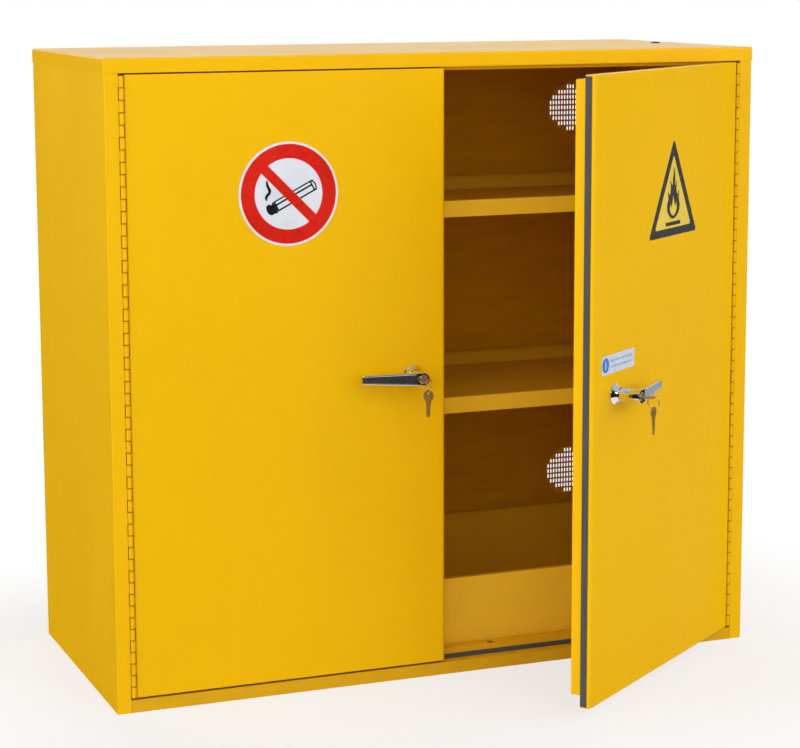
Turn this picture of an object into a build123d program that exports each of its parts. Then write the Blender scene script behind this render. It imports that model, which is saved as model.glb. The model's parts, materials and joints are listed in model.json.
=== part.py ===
from build123d import *
import math
import os

os.makedirs("parts", exist_ok=True)

# ---------------------------------------------------------------- driving dimensions (mm)
W = 1200.0          # over the lid
D = 520.0           # over the lid
H = 1100.0          # to the top of the lid
SHEET = 1.5         # carcass sheet
DOOR_SHEET = 1.2    # door and tray sheet
LID_SKIRT = 24.0    # depth of the lid's turned-down skirt
STILE_W = 23.5      # front face of each folded stile

XO = W / 2 - SHEET          # outer face of the body sides
F = -D / 2 + SHEET          # front plane of the body
B = D / 2 - SHEET           # back plane of the body
XS = XO - STILE_W           # inner edge of a stile
LID_Z = H - LID_SKIRT       # lower edge of the lid skirt
SILL_Z = 22.0               # top of the bottom rail
REBATE = 20.0               # depth of the door rebate
STOP_LOW = 41.0             # top of the bottom door stop
STOP_HIGH = 1069.0          # underside of the top door stop
STOP_SIDE = XS - 19.0       # inner edge of the side stops

HINGE_X = 570.0             # hinge axes, from the centre line
HINGE_OD = 8.0
HINGE_PIN = 4.0
HINGE_Z0, HINGE_Z1 = 26.0, 1072.5
KNUCKLES = 52
OPEN_ANGLE = 37.0           # the right door stands open by this much

LEAF_S0, LEAF_S1 = 5.0, 569.0       # door skin, measured from the hinge axis
ROLL_R = 6.0                # roll of the skin at the door's free edge
SKIN_T = 18.0                       # depth of the outer pan
PAN_S0, PAN_S1 = 17.0, 565.0        # inner pan
PAN_T = 38.0
DOOR_Z0, DOOR_Z1 = 25.0, 1073.5
PAN_Z0, PAN_Z1 = 45.0, 1066.0

HANDLE_Z = 545.0
HANDLE_S = {"left": 508.5, "right": 488.0}   # spindle, from the hinge axis
ROD_T = 28.0                # rods, behind the door's face
ROD_D = 10.0
ROD_UP_S = 540.0            # upper rod, from the hinge axis
PINION_R = 12.0             # pitch radius of the pinion on the spindle
TEETH = 12

SUMP_TOP = 160.5
SHELF_LIP = 28.5
SHELF_TOPS = {"lower": 489.5, "upper": 839.5}
SHELF_X = 585.0
SHELF_Y0, SHELF_Y1 = F + 50.0, B - 10.0
RACK_Y = (F + 95.0, B - 75.0)
VENT_X, VENT_Z = 487.0, (225.0, 966.0)
VENT_D = 100.0


def save(builder, name):
    builder.part.label = name
    export_step(builder.part, f"parts/{name}.step")


# ---------------------------------------------------------------- carcass
# Folded side: wall, front stile, return into the rebate, and the stop that the door closes on.
def side_panel(m, name):
    with BuildPart() as side:
        with BuildSketch(Plane.XY) as plan:
            for x0, x1, y0, y1 in (
                (XO - SHEET, XO, F, B),
                (XS, XO, F, F + SHEET),
                (XS, XS + SHEET, F, F + REBATE + SHEET),
            ):
                with Locations((m * (x0 + x1) / 2, (y0 + y1) / 2)):
                    Rectangle(x1 - x0, y1 - y0)
        extrude(amount=H - SHEET)
        edges = side.edges().filter_by(Axis.Z)
        fillet(edges.group_by(Axis.Y)[0].sort_by(Axis.X)[-1 if m > 0 else 0], 1.2)
        with BuildSketch(Plane.XY.offset(STOP_LOW)) as stop:
            for x0, x1, y0, y1 in (
                (STOP_SIDE, XS + SHEET, F + REBATE, F + REBATE + SHEET),
                (STOP_SIDE, STOP_SIDE + SHEET, F + REBATE, F + 39.0),
            ):
                with Locations((m * (x0 + x1) / 2, (y0 + y1) / 2)):
                    Rectangle(x1 - x0, y1 - y0)
        extrude(amount=STOP_HIGH - STOP_LOW)
        # turned-in foot flange along the floor
        with BuildSketch(Plane.XY) as foot:
            with Locations((m * (XO - 15.0), (F + 26.5 + B - SHEET) / 2)):
                Rectangle(30.0, B - SHEET - F - 26.5)
        extrude(amount=SHEET)
    save(side, name)


side_panel(-1, "side_panel_left")
side_panel(1, "side_panel_right")

with BuildPart() as back_panel:
    with BuildSketch(Plane.XZ.offset(-B)) as back_face:
        with Locations((0, (H - SHEET) / 2)):
            Rectangle(2 * (XO - SHEET), H - SHEET)
        for z in VENT_Z:
            with Locations((VENT_X, z)):
                Circle(VENT_D / 2, mode=Mode.SUBTRACT)
    extrude(amount=SHEET)
save(back_panel, "back_panel")

with BuildPart() as floor_panel:
    with BuildSketch(Plane.XY.offset(SILL_Z)) as floor_face:
        with Locations((0, (F + REBATE + SHEET + B - SHEET) / 2)):
            Rectangle(2 * (XO - SHEET), B - F - REBATE - 2 * SHEET)
    extrude(amount=SHEET)
    # the corners are notched round the stile returns
    with BuildSketch(Plane.XY.offset(SILL_Z)) as notches:
        for m in (-1, 1):
            with Locations((m * (XO + XS) / 2, F + REBATE + 10.0)):
                Rectangle(STILE_W + 2.0, 24.0)
    extrude(amount=SHEET, mode=Mode.SUBTRACT)
save(floor_panel, "floor_panel")

# Hat section under the middle of the floor; its flat crown stands on the ground.
with BuildPart() as floor_stiffener:
    with BuildSketch(Plane.XZ.offset(-(F + 27.0))) as hat:
        for x0, x1, z0, z1 in (
            (-35.0, 35.0, 0.0, SHEET),
            (-35.0, -35.0 + SHEET, 0.0, SILL_Z),
            (35.0 - SHEET, 35.0, 0.0, SILL_Z),
            (-53.0, -35.0 + SHEET, SILL_Z - SHEET, SILL_Z),
            (35.0 - SHEET, 53.0, SILL_Z - SHEET, SILL_Z),
        ):
            with Locations(((x0 + x1) / 2, (z0 + z1) / 2)):
                Rectangle(x1 - x0, z1 - z0)
    extrude(amount=-(B - SHEET - 0.5 - (F + 27.0)))
save(floor_stiffener, "floor_stiffener")

with BuildPart() as top_lid:
    with BuildSketch(Plane.XY.offset(LID_Z)) as lid_outline:
        Rectangle(W, D)
    extrude(amount=LID_SKIRT)
    fillet(top_lid.edges().filter_by(Axis.Z), 3.0)
    fillet(top_lid.faces().sort_by(Axis.Z)[-1].edges(), 2.8)
    with BuildSketch(Plane.XY.offset(LID_Z)) as lid_inside:
        Rectangle(W - 2 * SHEET, D - 2 * SHEET)
    extrude(amount=LID_SKIRT - SHEET, mode=Mode.SUBTRACT)
    with Locations((544.0, 8.0, H)):
        Hole(6.5, depth=5.0)
save(top_lid, "top_lid")

with BuildPart() as lid_plug:
    with BuildSketch(Plane.XZ) as plug_half:
        with BuildLine() as plug_line:
            Polyline((0, H - 6.0), (5.6, H - 6.0), (6.3, H - 2.2), (6.3, H), (9.0, H), (8.6, H + 1.2), (6.4, H + 2.3), (3.0, H + 2.8), (0, H + 2.9), (0, H - 6.0))
        make_face()
    revolve(axis=Axis.Z)
lid_plug.part.position = (544.0, 8.0, 0)
save(lid_plug, "lid_plug")


# Rails: a front face, a sill or head, the door stop and a leg behind it.
def section_rail(boxes, name, half, rod_holes):
    with BuildPart() as rail:
        with BuildSketch(Plane.YZ.offset(-half)) as section:
            for y0, y1, z0, z1 in boxes:
                with Locations(((y0 + y1) / 2, (z0 + z1) / 2)):
                    Rectangle(y1 - y0, z1 - z0)
        extrude(amount=2 * half)
        for x, z in rod_holes:
            with Locations((x, F + ROD_T, z)):
                Cylinder(7.0, 6.0, mode=Mode.SUBTRACT)
    return rail


GAP = 0.6
bottom_boxes = (
    (F, F + SHEET, 0.0, SILL_Z),
    (F, F + 26.0, 0.0, SHEET),
    (F, F + REBATE + SHEET, SILL_Z - SHEET, SILL_Z),
    (F + REBATE, F + REBATE + SHEET, SILL_Z - SHEET, STOP_LOW),
    (F + REBATE, F + 39.0, STOP_LOW - SHEET, STOP_LOW),
    (F + 39.0 - SHEET, F + 39.0, SILL_Z + SHEET, STOP_LOW),
)
rod_low_x = {side: (-1 if side == "left" else 1) * (HINGE_X - (HANDLE_S[side] - PINION_R - 4.75)) for side in HANDLE_S}
bottom_rail = section_rail(bottom_boxes, "bottom_rail", XS - GAP, [(x, STOP_LOW) for x in rod_low_x.values()])
save(bottom_rail, "bottom_rail")

top_boxes = (
    (F, F + SHEET, LID_Z + 0.2, H - SHEET),
    (F, F + REBATE + SHEET, LID_Z + 0.2, LID_Z + 0.2 + SHEET),
    (F + REBATE, F + REBATE + SHEET, STOP_HIGH, LID_Z + 0.2 + SHEET),
    (F + REBATE, F + 39.0, STOP_HIGH, STOP_HIGH + SHEET),
    (F + 39.0 - SHEET, F + 39.0, STOP_HIGH, H - SHEET),
)
rod_up_x = HINGE_X - ROD_UP_S
top_rail = section_rail(top_boxes, "top_rail", XS - GAP, [(-rod_up_x, STOP_HIGH), (rod_up_x, STOP_HIGH)])
save(top_rail, "top_rail")

# Heat-swelling seal strips on the front of the bottom and side stops; the top stop is bare.
with BuildPart() as frame_seals:
    with BuildSketch(Plane.XZ.offset(-(F + REBATE))) as strips:
        with Locations((0, SILL_Z + 4.4)):
            Rectangle(2 * XS - 30.0, 8.0)
        with Locations((-XS + 8.0, (STOP_LOW + STOP_HIGH) / 2), (XS - 8.0, (STOP_LOW + STOP_HIGH) / 2)):
            Rectangle(10.0, STOP_HIGH - STOP_LOW - 4.0)
    extrude(amount=1.5)
save(frame_seals, "frame_seals")

# Sump in the base, and two retention shelves: shallow trays with a hemmed lip.
def tray(x1, y0, y1, z0, z1, hem, name):
    with BuildPart() as pan:
        with BuildSketch(Plane.XY.offset(z0)) as outline:
            with Locations((0, (y0 + y1) / 2)):
                Rectangle(2 * x1, y1 - y0)
        extrude(amount=z1 - z0)
        fillet(pan.edges().filter_by(Axis.Z), 3.0)
        with BuildSketch(Plane.XY.offset(z0 + DOOR_SHEET)) as inside:
            with Locations((0, (y0 + y1) / 2)):
                RectangleRounded(2 * (x1 - DOOR_SHEET), y1 - y0 - 2 * DOOR_SHEET, 1.8)
        extrude(amount=z1 - z0 - 2 * DOOR_SHEET, mode=Mode.SUBTRACT)
        with BuildSketch(Plane.XY.offset(z1 - DOOR_SHEET)) as mouth:
            with Locations((0, (y0 + y1) / 2)):
                Rectangle(2 * (x1 - hem), y1 - y0 - 2 * hem)
        extrude(amount=DOOR_SHEET, mode=Mode.SUBTRACT)
        fillet(pan.faces().sort_by(Axis.Z)[-1].outer_wire().edges(), 0.8)
    save(pan, name)


tray(592.0, F + 45.0, B - 6.0, SILL_Z + SHEET, SUMP_TOP, 10.0, "sump_tray")
for level, top in SHELF_TOPS.items():
    tray(SHELF_X, SHELF_Y0, SHELF_Y1, top - SHELF_LIP, top, 9.0, f"shelf_{level}")


# Slotted strips on the side walls carry the shelves on hooked clips.
RACK_Z0, RACK_Z1 = 190.0, 1050.0
RACK_IN = 590.0
for m, tag in ((-1, "left"), (1, "right")):
    with BuildPart() as racks:
        with BuildSketch(Plane.XY.offset(RACK_Z0)) as rack_plan:
            for y in RACK_Y:
                for dx, dy, w, d in ((RACK_IN + 0.6, 0, 1.2, 28.0), ((RACK_IN + 597.0) / 2, 13.4, 7.0, 1.2), ((RACK_IN + 597.0) / 2, -13.4, 7.0, 1.2)):
                    with Locations((m * dx, y + dy)):
                        Rectangle(w, d)
        extrude(amount=RACK_Z1 - RACK_Z0)
        for y in RACK_Y:
            with BuildSketch(Plane.YZ.offset(m * RACK_IN - 3.0)) as slots:
                with Locations((y, (RACK_Z0 + RACK_Z1) / 2)):
                    with GridLocations(1.0, 25.0, 1, 33):
                        Rectangle(14.0, 4.0)
            extrude(amount=6.0, mode=Mode.SUBTRACT)
    save(racks, f"rack_strips_{tag}")

with BuildPart() as shelf_clips:
    for top in SHELF_TOPS.values():
        zb = top - SHELF_LIP
        for m in (-1, 1):
            for y in RACK_Y:
                with Locations((m * (RACK_IN - 0.9), y, zb - 9.0)):
                    Box(1.6, 22.0, 17.6)
                with Locations((m * (RACK_IN - 7.0), y, zb - 0.95)):
                    Box(13.8, 22.0, 1.6)
                with Locations((m * (RACK_IN - 5.5), y, zb - 7.0)):
                    Box(9.2, 1.6, 12.0)
save(shelf_clips, "shelf_clips")

# Round louvre plates over the two vent holes in the back.
for tag, z in zip(("lower", "upper"), VENT_Z):
    with BuildPart() as grille:
        with BuildSketch(Plane.XZ.offset(-(B + 1.2))) as disc:
            with Locations((VENT_X, z)):
                Circle(58.0)
            for row in range(-4, 5):
                for col in range(-7, 8):
                    x, y = col * 6.2, row * 10.4
                    if math.hypot(abs(x) + 1.7, abs(y) + 3.9) < 47.5:
                        with Locations((VENT_X + x, z + y)):
                            SlotOverall(7.6, 3.2, rotation=90, mode=Mode.SUBTRACT)
        extrude(amount=1.2)
    save(grille, f"vent_grille_{tag}")


# ---------------------------------------------------------------- door frames
# A leaf is drawn from its hinge axis: s along the leaf, t inward from its face, z up.
class Leaf:
    def __init__(self, side, angle):
        self.side = side
        self.m = 1 if side == "left" else -1
        a = math.radians(angle)
        self.origin = (-HINGE_X * self.m, F, 0)
        self.s_dir = (self.m * math.cos(a), -math.sin(a), 0)
        self.t_dir = (self.m * math.sin(a), math.cos(a), 0)
        self.plane = Plane(origin=self.origin, x_dir=self.s_dir, z_dir=(0, 0, 1))

    def at(self, s, t, z):
        return tuple(self.origin[i] + s * self.s_dir[i] + t * self.t_dir[i] + (z if i == 2 else 0) for i in range(3))

    def face(self, t, s=0.0, z=0.0):
        """A plane parallel to the leaf's face at depth t, drawn in (s, z) and facing outward on the left leaf and inward on the right one."""
        return Plane(origin=self.at(s, t, z), x_dir=self.s_dir, z_dir=tuple(-self.m * c for c in self.t_dir))

    def out(self):
        """The sign of an extrusion from face() that goes outward."""
        return self.m


LEAVES = {"left": Leaf("left", 0.0), "right": Leaf("right", OPEN_ANGLE)}
FRAMES = {"left": Leaf("left", 0.0), "right": Leaf("right", 0.0)}
STEP_Z = (HINGE_Z1 - HINGE_Z0) / KNUCKLES


# Continuous hinge: one leaf on the stile return, the other on the door edge, with knuckles taking turns.
def hinge_leaf(leaf, on_door, name):
    m = leaf.m
    with BuildPart() as hinge:
        s0, s1 = (3.8, 5.0) if on_door else (-5.0, -3.8)
        with BuildSketch(leaf.plane.offset(HINGE_Z0)) as strip:
            with Locations(((s0 + s1) / 2, m * 11.0)):
                Rectangle(1.2, 10.6)
        extrude(amount=HINGE_Z1 - HINGE_Z0)
        first = 0 if on_door else 1
        for k in range(first, KNUCKLES, 2):
            with BuildSketch(leaf.plane.offset(HINGE_Z0 + k * STEP_Z + 0.2)) as knuckle:
                Circle(HINGE_OD / 2)
                with Locations(((s0 + s1) / 2, m * 3.4)):
                    Rectangle(1.2, 6.8)
                Circle(HINGE_PIN / 2 + 0.08, mode=Mode.SUBTRACT)
            extrude(amount=STEP_Z - 0.4)
    save(hinge, name)


for side in ("left", "right"):
    hinge_leaf(FRAMES[side], False, f"hinge_leaf_frame_{side}")
    hinge_leaf(LEAVES[side], True, f"hinge_leaf_door_{side}")
    with BuildPart() as hinge_pin:
        with BuildSketch(FRAMES[side].plane.offset(HINGE_Z0)) as pin_circle:
            Circle(HINGE_PIN / 2)
        extrude(amount=HINGE_Z1 - HINGE_Z0)
        chamfer(hinge_pin.edges(), 0.4)
    save(hinge_pin, f"hinge_pin_{side}")

# Rod keepers: a plate over each rod hole, on the far side of the stops.
with BuildPart() as rod_keepers:
    for x, z, dz in ((-rod_up_x, STOP_HIGH + SHEET, 1), (rod_up_x, STOP_HIGH + SHEET, 1), (rod_low_x["left"], STOP_LOW - SHEET, -1), (rod_low_x["right"], STOP_LOW - SHEET, -1)):
        with BuildSketch(Plane.XY.offset(z if dz > 0 else z - 2.5)) as keeper:
            with Locations((x, F + 29.5)):
                Rectangle(40.0, 15.6)
            with Locations((x, F + ROD_T)):
                Circle(6.2, mode=Mode.SUBTRACT)
        extrude(amount=2.5)
save(rod_keepers, "rod_keepers")


# ---------------------------------------------------------------- doors
def door(side):
    leaf = LEAVES[side]
    m, P = leaf.m, leaf.plane
    sh = HANDLE_S[side]
    low_s = sh - PINION_R - 4.75

    # outer pan: face, four returns and a turned-in flange
    with BuildPart() as skin:
        with BuildSketch(P.offset(DOOR_Z0)) as block:
            with Locations(((LEAF_S0 + LEAF_S1) / 2, m * SKIN_T / 2)):
                Rectangle(LEAF_S1 - LEAF_S0, SKIN_T)
            fillet([v for v in block.vertices() if abs(v.X - LEAF_S1) < 0.01 and abs(v.Y) < 0.01], ROLL_R)
            fillet([v for v in block.vertices() if abs(v.X - LEAF_S0) < 0.01 and abs(v.Y) < 0.01], 2.5)
        extrude(amount=DOOR_Z1 - DOOR_Z0)
        inward = Vector(*leaf.t_dir)
        rims = []
        for cap in (skin.faces().sort_by(Axis.Z)[-1], skin.faces().sort_by(Axis.Z)[0]):
            rims += [e for e in cap.edges() if (e.center() - Vector(*leaf.at(0, 0, 0))).dot(inward) < SKIN_T - 0.01]
        fillet(rims, 2.0)
        with BuildSketch(P.offset(DOOR_Z0 + DOOR_SHEET)) as hollow:
            with Locations(((LEAF_S0 + LEAF_S1) / 2, m * (DOOR_SHEET + SKIN_T - DOOR_SHEET) / 2)):
                Rectangle(LEAF_S1 - LEAF_S0 - 2 * DOOR_SHEET, SKIN_T - 2 * DOOR_SHEET)
            fillet([v for v in hollow.vertices() if abs(v.X - LEAF_S1 + DOOR_SHEET) < 0.01 and abs(abs(v.Y) - DOOR_SHEET) < 0.01], ROLL_R - DOOR_SHEET)
        extrude(amount=DOOR_Z1 - DOOR_Z0 - 2 * DOOR_SHEET, mode=Mode.SUBTRACT)
        with BuildSketch(leaf.face(SKIN_T)) as mouth:
            with Locations(((LEAF_S0 + LEAF_S1) / 2, (DOOR_Z0 + DOOR_Z1) / 2)):
                Rectangle(LEAF_S1 - LEAF_S0 - 50.0, DOOR_Z1 - DOOR_Z0 - 60.0)
        extrude(amount=leaf.out() * 2.0, mode=Mode.SUBTRACT)
        with BuildSketch(leaf.face(3.0)) as spindle_hole:
            with Locations((sh, HANDLE_Z)):
                Circle(9.0)
        extrude(amount=leaf.out() * 6.0, mode=Mode.SUBTRACT)
    save(skin, f"door_skin_{side}")

    # inner pan, with the rod holes in its top and bottom
    with BuildPart() as pan:
        with BuildSketch(P.offset(PAN_Z0)) as pan_block:
            with Locations(((PAN_S0 + PAN_S1) / 2, m * (SKIN_T + PAN_T) / 2)):
                Rectangle(PAN_S1 - PAN_S0, PAN_T - SKIN_T)
        extrude(amount=PAN_Z1 - PAN_Z0)
        inward = Vector(*leaf.t_dir)
        rear = [f for f in pan.faces() if f.normal_at().dot(inward) > 0.99][0]
        fillet(rear.edges(), 2.0)
        with BuildSketch(P.offset(PAN_Z0 + DOOR_SHEET)) as pan_hollow:
            with Locations(((PAN_S0 + PAN_S1) / 2, m * (SKIN_T - 1.0 + PAN_T - DOOR_SHEET) / 2)):
                Rectangle(PAN_S1 - PAN_S0 - 2 * DOOR_SHEET, PAN_T - DOOR_SHEET - SKIN_T + 1.0)
        extrude(amount=PAN_Z1 - PAN_Z0 - 2 * DOOR_SHEET, mode=Mode.SUBTRACT)
        for s, z in ((ROD_UP_S, PAN_Z1), (low_s, PAN_Z0)):
            with Locations(leaf.at(s, ROD_T, z)):
                Cylinder(6.0, 8.0, mode=Mode.SUBTRACT)
    save(pan, f"door_inner_pan_{side}")

    # insulating board inside the outer pan
    with BuildPart() as core:
        with BuildSketch(leaf.face(15.0)) as board:
            with Locations(((LEAF_S0 + LEAF_S1) / 2, (DOOR_Z0 + DOOR_Z1) / 2)):
                Rectangle(LEAF_S1 - LEAF_S0 - 8.0, DOOR_Z1 - DOOR_Z0 - 8.0)
            with Locations((sh, HANDLE_Z)):
                Circle(14.0, mode=Mode.SUBTRACT)
        extrude(amount=leaf.out() * 13.0)
    save(core, f"door_insulation_{side}")

    # lock case: two plates and two sides round the pinion, open for the racks
    with BuildPart() as case:
        with BuildSketch(P.offset(516.0)) as case_plan:
            with Locations((sh + 1.0, m * 28.0)):
                Rectangle(56.0, 15.6)
                Rectangle(53.0, 12.6, mode=Mode.SUBTRACT)
        extrude(amount=50.0)
        with BuildSketch(leaf.face(37.0)) as case_bore:
            with Locations((sh, HANDLE_Z)):
                Circle(4.3)
        extrude(amount=leaf.out() * 20.0, mode=Mode.SUBTRACT)
    save(case, f"lock_case_{side}")

    with BuildPart() as guides:
        for s, z in ((ROD_UP_S, 1030.0), (low_s, 80.0)):
            with BuildSketch(P.offset(z)) as guide:
                with Locations((s, m * 28.0)):
                    Rectangle(26.0, 17.0)
                with Locations((s, m * ROD_T)):
                    Circle(ROD_D / 2 + 0.4, mode=Mode.SUBTRACT)
            extrude(amount=4.0)
    save(guides, f"rod_guides_{side}")

    # flared rose round the handle's neck, revolved about the spindle axis
    axis_plane = Plane(origin=leaf.at(sh, 0, HANDLE_Z), x_dir=(0, 0, 1), z_dir=leaf.s_dir)
    out_y = 1 if axis_plane.y_dir.dot(Vector(*leaf.t_dir)) < 0 else -1
    spin = Axis(leaf.at(sh, 0, HANDLE_Z), leaf.t_dir)
    with BuildPart() as rose:
        with BuildSketch(axis_plane) as rose_half:
            with BuildLine() as rose_line:
                pts = [(8.4, 0), (18.0, 0), (18.0, 1.8), (16.8, 3.0), (14.6, 6.5), (12.9, 11.0), (12.4, 12.4), (8.4, 12.4), (8.4, 0)]
                Polyline(*[(r, out_y * h) for r, h in pts])
            make_face()
        revolve(axis=spin)
    save(rose, f"handle_rose_{side}")

    # lever: neck, hub and a tapering arm that leans back toward the door
    side_plane = Plane(origin=leaf.at(sh, 0, HANDLE_Z - 15.0), x_dir=leaf.s_dir, z_dir=(0, 0, 1))

    def slab(points):
        """The points (s, h) of a side profile, h being the height above the door's face."""
        return [(s, -m * h) for s, h in points]

    with BuildPart() as recess:
        with BuildSketch(leaf.face(-30.0)) as recess_face:
            with BuildLine() as recess_line:
                Polyline((sh - 13.5, HANDLE_Z + 8.7), (sh - 104.6, HANDLE_Z + 8.3), (sh - 104.6, HANDLE_Z - 1.3), (sh - 13.5, HANDLE_Z - 7.4), close=True)
            make_face()
        extrude(amount=leaf.out() * 26.0)
        with BuildSketch(side_plane) as recess_side:
            with BuildLine() as recess_side_line:
                Polyline(*slab([(-10.0, 48.3), (-10.0, 54.0), (-112.0, 54.0), (-112.0, 34.2), (-60.0, 41.5), (-12.0, 48.5)]), close=True)
            make_face()
        extrude(amount=30.0, mode=Mode.INTERSECT)

    with BuildPart() as lever:
        with BuildSketch(leaf.face(-26.0)) as lever_face:
            with Locations((sh, HANDLE_Z)):
                Circle(11.6)
            with BuildLine() as arm_line:
                arm = [(0.0, 11.2), (-105.2, 10.6), (-107.0, 8.8), (-107.0, -2.0), (-105.2, -3.8), (0.0, -10.6)]
                Polyline(*[(sh + a, HANDLE_Z + b) for a, b in arm], close=True)
            make_face()
        extrude(amount=leaf.out() * 26.0)
        with BuildSketch(side_plane) as lever_side:
            with BuildLine() as side_line:
                Polyline(*slab([(13.0, 36.0), (-8.0, 36.0), (-60.0, 32.5), (-106.5, 27.2), (-108.5, 29.0), (-108.5, 33.8), (-106.0, 36.0), (-60.0, 42.5), (-12.0, 49.5), (13.0, 50.0)]), close=True)
            make_face()
        extrude(amount=30.0, mode=Mode.INTERSECT)
        with BuildSketch(leaf.face(-12.9)) as neck_circle:
            with Locations((sh, HANDLE_Z)):
                Circle(11.4)
        extrude(amount=leaf.out() * 30.0)
        with BuildSketch(leaf.face(1.5)) as shank_circle:
            with Locations((sh, HANDLE_Z)):
                Circle(8.0)
        extrude(amount=leaf.out() * 16.0)
        with BuildSketch(leaf.face(2.0)) as spindle_socket:
            with Locations((sh, HANDLE_Z)):
                Rectangle(8.3, 8.3)
        extrude(amount=leaf.out() * 22.0, mode=Mode.SUBTRACT)
        with BuildSketch(leaf.face(-27.0)) as barrel_bore:
            with Locations((sh, HANDLE_Z)):
                Circle(7.1)
        extrude(amount=leaf.out() * 26.0, mode=Mode.SUBTRACT)
        # shallow recess for the inlay
        add(recess.part, mode=Mode.SUBTRACT)
    save(lever, f"handle_lever_{side}")

    with BuildPart() as inlay:
        with BuildSketch(leaf.face(-30.0)) as inlay_face:
            with BuildLine() as inlay_line:
                Polyline((sh - 13.6, HANDLE_Z + 8.6), (sh - 104.5, HANDLE_Z + 8.2), (sh - 104.5, HANDLE_Z - 1.2), (sh - 13.6, HANDLE_Z - 7.3), close=True)
            make_face()
        extrude(amount=leaf.out() * 22.0)
        with BuildSketch(side_plane) as inlay_side:
            with BuildLine() as inlay_side_line:
                Polyline(*slab([(-12.0, 48.55), (-12.0, 49.3), (-60.0, 42.3), (-112.0, 35.0), (-112.0, 34.25), (-60.0, 41.55)]), close=True)
            make_face()
        extrude(amount=30.0, mode=Mode.INTERSECT)
    save(inlay, f"lever_inlay_{side}")

    # square spindle with the pinion, and a journal in the back of the case
    with BuildPart() as spindle:
        with BuildSketch(leaf.face(22.0)) as square:
            with Locations((sh, HANDLE_Z)):
                Rectangle(8.0, 8.0)
        extrude(amount=leaf.out() * 41.0)
        with BuildSketch(leaf.face(36.0)) as journal:
            with Locations((sh, HANDLE_Z)):
                Circle(4.0)
        extrude(amount=leaf.out() * 16.0)
        with BuildSketch(leaf.face(33.0)) as pinion:
            with Locations((sh, HANDLE_Z)):
                Circle(9.8)
                with PolarLocations(0, TEETH):
                    Polygon((9.0, -1.6), (13.2, -0.6), (13.2, 0.6), (9.0, 1.6), align=None)
        extrude(amount=leaf.out() * 10.0)
        with BuildSketch(leaf.face(23.0)) as relief:
            with Locations((sh, HANDLE_Z)):
                Circle(8.0)
                Circle(4.0, mode=Mode.SUBTRACT)
        extrude(amount=leaf.out() * 5.0, mode=Mode.SUBTRACT)
    save(spindle, f"lock_spindle_{side}")

    # lock barrel with its keyway, and the key standing in it
    with BuildPart() as barrel:
        with BuildSketch(leaf.face(-28.0)) as barrel_circle:
            with Locations((sh, HANDLE_Z)):
                Circle(7.0)
        extrude(amount=leaf.out() * 22.6)
        with BuildSketch(leaf.face(-30.0)) as keyway:
            with Locations((sh, HANDLE_Z)):
                Rectangle(8.6, 2.4)
        extrude(amount=leaf.out() * 25.0, mode=Mode.SUBTRACT)
    save(barrel, f"lock_barrel_{side}")

    flat = Plane(origin=leaf.at(sh, 0, HANDLE_Z - 1.0), x_dir=leaf.s_dir, z_dir=(0, 0, 1))
    with BuildPart() as key:
        with BuildSketch(flat) as key_flat:
            with Locations((0, -m * 41.0)):
                Rectangle(7.8, 20.0)
            with Locations((0, -m * 53.2)):
                Rectangle(9.4, 4.6)
            with Locations((0, -m * 62.5)):
                Ellipse(10.4, 9.5)
            with Locations((0, -m * 65.3)):
                SlotOverall(8.6, 6.4, rotation=90, mode=Mode.SUBTRACT)
        extrude(amount=2.0)
    save(key, f"key_in_lock_{side}")

    # split ring hanging on the key's bow, and a second key on the ring
    ring_h, ring_z = 70.8, HANDLE_Z + 1.0 + 0.45 + 0.7 - 10.3
    ring_plane = Plane(origin=leaf.at(sh, -ring_h, ring_z), x_dir=(0, 0, 1), z_dir=leaf.s_dir)
    with BuildPart() as ring:
        with BuildSketch(Plane(origin=leaf.at(sh, -ring_h, ring_z + 10.3), x_dir=(0, 0, 1), z_dir=leaf.t_dir)) as wire:
            Circle(0.7)
        revolve(axis=Axis(leaf.at(sh, -ring_h, ring_z), leaf.s_dir))
    save(ring, f"key_ring_{side}")

    hole_z = ring_z - 10.3 + 0.7 + 0.4 - 2.6
    with BuildPart() as spare:
        with BuildSketch(leaf.face(-ring_h + 1.0)) as spare_face:
            with Locations((sh, hole_z - 4.8)):
                Ellipse(9.5, 10.2)
            with Locations((sh, hole_z - 15.6)):
                Rectangle(9.4, 5.0)
            with Locations((sh, hole_z - 29.6)):
                Polygon((-3.9, 12.5), (-3.9, -9.0), (-1.6, -12.5), (1.0, -12.5), (3.3, -8.0), (2.4, -5.5), (3.5, -3.5), (2.4, -1.0), (3.7, 1.0), (2.2, 3.5), (3.7, 5.5), (2.6, 7.5), (3.9, 9.0), (3.9, 12.5), align=None)
            with Locations((sh, hole_z)):
                Circle(2.6, mode=Mode.SUBTRACT)
        extrude(amount=leaf.out() * 2.0)
    save(spare, f"spare_key_{side}")

    # locking rods with the racks that the pinion drives
    pitch = 2 * math.pi * PINION_R / TEETH

    def rack_teeth(first, last):
        """Heights of the rack's teeth: its gaps line up with the spindle at rest."""
        return [HANDLE_Z + (k + 0.5) * pitch for k in range(first, last)]

    with BuildPart() as rod_up:
        with BuildSketch(P.offset(572.0)) as rod_circle:
            with Locations((ROD_UP_S, m * ROD_T)):
                Circle(ROD_D / 2)
        extrude(amount=PAN_Z1 + 0.8 - 572.0)
        chamfer(rod_up.edges().sort_by(Axis.Z)[-1], 2.0)
        with BuildSketch(leaf.face(32.0)) as rack:
            with Locations((sh + 16.9, 547.0)):
                Rectangle(6.6, 56.0)
            with Locations(((sh + 13.6 + ROD_UP_S + 4.0) / 2, 576.0)):
                Rectangle(ROD_UP_S + 4.0 - sh - 13.6, 10.0)
            for z in rack_teeth(-4, 2):
                with Locations((sh + 13.7, z)):
                    Polygon((0.1, -1.6), (0.1, 1.6), (-2.9, 0.7), (-2.9, -0.7), align=None)
        extrude(amount=leaf.out() * 8.0)
    save(rod_up, f"rod_upper_{side}")

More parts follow.
